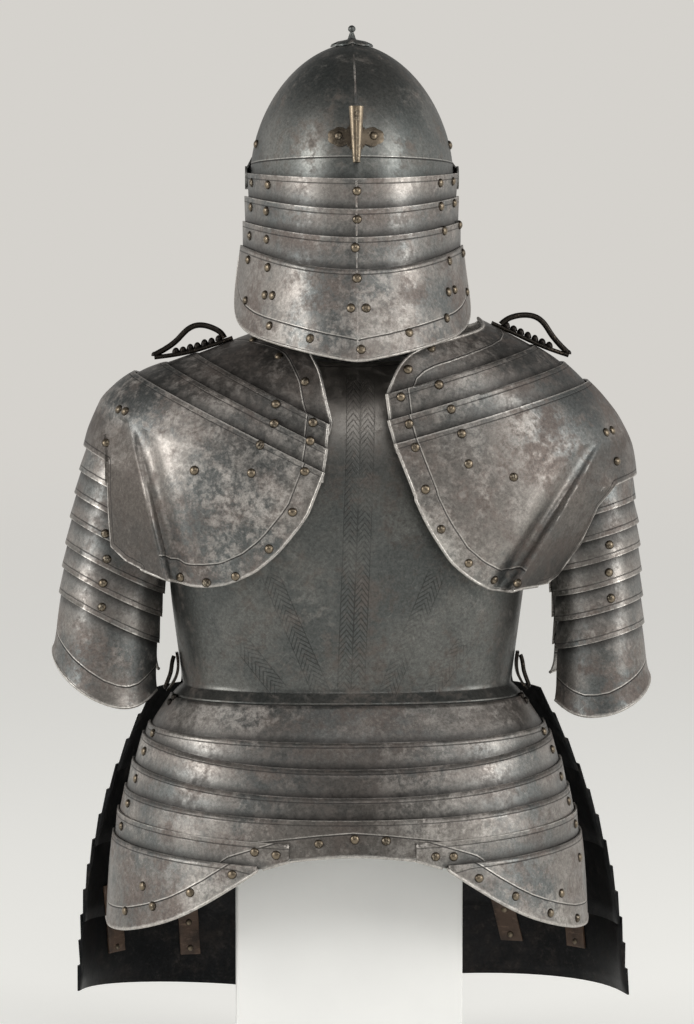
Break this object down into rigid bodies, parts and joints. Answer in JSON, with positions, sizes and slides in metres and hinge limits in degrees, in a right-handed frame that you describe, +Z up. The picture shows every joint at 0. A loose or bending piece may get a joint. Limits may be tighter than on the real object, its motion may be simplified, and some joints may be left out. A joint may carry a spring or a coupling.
{
  "type": "suit of plate armour on a plinth",
  "caption": "Steel half armour on a white plinth: close helmet with laminated neck guard, cuirass, winged pauldrons, arm lames, rump guard and long tassets.",
  "frame": {"origin": "centre of the plinth's underside, on the floor", "axes": "+Z up, the armour faces -Y, the wearer's left is +X"},
  "size_m": [0.6318, 0.3901, 1.1286],
  "materials": {
    "bright_steel": "aged, half polished",
    "dark_steel": "aged, dark patina",
    "tarnished_brass": "tarnished",
    "leather": "worn",
    "white_paint": "matt white paint"
  },
  "bodies": {
    "armour": {"backplate": "dark_steel", "breastplate": "dark_steel", "collar": "dark_steel", "culet_waist": "bright_steel", "culet_lame_1": "bright_steel", "culet_lame_2": "bright_steel", "culet_lame_3": "bright_steel", "culet_lame_4": "bright_steel", "culet_lame_5_left": "bright_steel", "culet_lame_5_right": "bright_steel", "culet_lame_6_left": "bright_steel", "culet_lame_6_right": "bright_steel", "tasset_left_1": "dark_steel", "tasset_left_2": "dark_steel", "tasset_left_3": "dark_steel", "tasset_left_4": "dark_steel", "tasset_right_1": "dark_steel", "tasset_right_2": "dark_steel", "tasset_right_3": "dark_steel", "tasset_right_4": "dark_steel", "helmet_skull": "dark_steel", "neck_lame_1": "bright_steel", "neck_lame_2": "bright_steel", "neck_lame_3": "bright_steel", "neck_lame_4": "bright_steel", "bevor": "dark_steel", "plume_holder": "tarnished_brass", "finial": "dark_steel", "pauldron_top_left": "bright_steel", "pauldron_lame_1_left": "bright_steel", "pauldron_lame_2_left": "bright_steel", "pauldron_main_left": "bright_steel", "arm_lame_1_left": "bright_steel", "arm_lame_2_left": "bright_steel", "arm_lame_3_left": "bright_steel", "arm_lame_4_left": "bright_steel", "arm_lame_5_left": "bright_steel", "arm_lame_6_left": "bright_steel", "arm_cuff_left": "bright_steel", "shoulder_hasp_left": "tarnished_brass", "waist_hasp_left": "tarnished_brass", "pauldron_top_right": "bright_steel", "pauldron_lame_1_right": "bright_steel", "pauldron_lame_2_right": "bright_steel", "pauldron_main_right": "bright_steel", "arm_lame_1_right": "bright_steel", "arm_lame_2_right": "bright_steel", "arm_lame_3_right": "bright_steel", "arm_lame_4_right": "bright_steel", "arm_lame_5_right": "bright_steel", "arm_lame_6_right": "bright_steel", "arm_cuff_right": "bright_steel", "shoulder_hasp_right": "tarnished_brass", "waist_hasp_right": "tarnished_brass", "plinth": "white_paint", "post": "white_paint", "shoulder_strap_left": "leather", "shoulder_strap_right": "leather"},
    "visor": {"visor": "dark_steel"}
  },
  "joints": [
    {"name": "visor_pivot", "type": "hinge", "parent": "armour", "child": "visor", "pos_m": [-0.005, 0, 0.97], "axis": [-1, 0, 0], "range_deg": [0, 45]}
  ]
}
